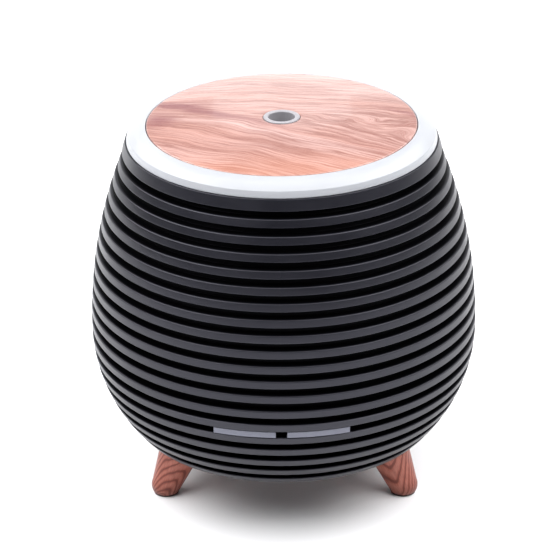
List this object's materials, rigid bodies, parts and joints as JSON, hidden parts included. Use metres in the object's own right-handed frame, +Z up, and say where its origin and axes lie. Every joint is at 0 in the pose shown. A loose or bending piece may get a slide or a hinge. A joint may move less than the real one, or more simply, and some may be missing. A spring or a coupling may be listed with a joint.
{
  "type": "essential oil diffuser",
  "caption": "Ultrasonic aroma diffuser: ribbed black barrel body on splayed wooden legs, lift-off cover with a white ring and wood-faced top, central mist outlet, push buttons.",
  "frame": {"origin": "on the floor under the body's vertical axis, midway across the body's width and depth", "axes": "+Z up, -Y the front with the two buttons, +X to the right seen from the front"},
  "size_m": [0.13, 0.13, 0.1307],
  "materials": {
    "black_shell": "satin, fine moulded texture",
    "white_ring": "satin translucent white",
    "disc_wood": "glossy, straight reddish grain with dark streaks",
    "grommet": "satin silver grey",
    "white_inner": "satin natural white",
    "black_plate": "matte",
    "screw_steel": "zinc plated",
    "seal_rubber": "matte",
    "clear_rubber": "satin",
    "foot_rubber": "matte dark brown",
    "piezo_ceramic": "silvered",
    "heat_aluminium": "satin",
    "board_white": "solder mask",
    "board_green": "solder mask",
    "led_lens": "clear yellow lens",
    "chip_epoxy": "matte epoxy",
    "coil_copper": "enamelled copper wire",
    "capacitor_sleeve": "shrink sleeve",
    "connector_cream": "satin",
    "fan_plastic": "satin",
    "button_grey": "satin pale grey",
    "plunger_cream": "satin",
    "jack_black": "satin",
    "pin_nickel": "nickel plated",
    "leg_wood": "reddish brown, satin varnish, cathedral grain",
    "nut_brass": "plain",
    "lead_red": "insulation",
    "lead_white": "insulation",
    "lead_yellow": "insulation",
    "lead_blue": "insulation",
    "lead_black": "insulation"
  },
  "bodies": {
    "base": {"base_shell": "black_shell", "bottom_plate": "black_plate", "bottom_screws": "screw_steel", "water_tank": "white_inner", "tank_seal": "seal_rubber", "tank_screws": "screw_steel", "transducer_disc": "piezo_ceramic", "transducer_seal": "clear_rubber", "transducer_clamp": "heat_aluminium", "clamp_screws": "screw_steel", "led_board": "board_white", "leds": "led_lens", "led_board_screws": "screw_steel", "main_pcb": "board_green", "pcb_screws": "screw_steel", "control_chip": "chip_epoxy", "power_transistor": "chip_epoxy", "heat_sink": "heat_aluminium", "driver_coil": "coil_copper", "capacitors": "capacitor_sleeve", "lead_connectors": "connector_cream", "fan_frame": "fan_plastic", "fan_gasket": "seal_rubber", "fan_screws": "screw_steel", "light_switch": "chip_epoxy", "mist_switch": "chip_epoxy", "button_board": "board_green", "button_board_screws": "screw_steel", "power_jack": "jack_black", "jack_pin": "pin_nickel", "leg_left": "leg_wood", "leg_right": "leg_wood", "leg_back": "leg_wood", "leg_studs": "screw_steel", "leg_nuts": "nut_brass", "foot_pad_left": "foot_rubber", "foot_pad_right": "foot_rubber", "foot_pad_back": "foot_rubber", "fan_leads": "lead_red", "transducer_leads": "lead_white", "button_leads": "lead_yellow", "led_leads": "lead_blue", "jack_leads": "lead_black"},
    "cover": {"cover_shell": "black_shell", "light_ring": "white_ring", "wood_disc": "disc_wood", "mist_nozzle": "grommet", "mist_hood": "white_inner", "hood_screws": "screw_steel"},
    "fan": {"fan_rotor": "fan_plastic"},
    "light_button": {"light_button": "button_grey", "light_plunger": "plunger_cream"},
    "mist_button": {"mist_button": "button_grey", "mist_plunger": "plunger_cream"}
  },
  "joints": [
    {"name": "cover_lift", "type": "slide", "parent": "base", "child": "cover", "axis": [0, 0, 1], "range_m": [0, 0.1]},
    {"name": "fan_spin", "type": "hinge", "parent": "base", "child": "fan", "pos_m": [0.02511, 0.0145, 0.03], "axis": [0, 0, 1], "continuous": true},
    {"name": "light_button_press", "type": "slide", "parent": "base", "child": "light_button", "axis": [0, 1, 0], "range_m": [0, 0.0005], "stiffness_N_per_m": 400, "springref_m": -0.0002},
    {"name": "mist_button_press", "type": "slide", "parent": "base", "child": "mist_button", "axis": [0, 1, 0], "range_m": [0, 0.0005], "stiffness_N_per_m": 400, "springref_m": -0.0002}
  ]
}
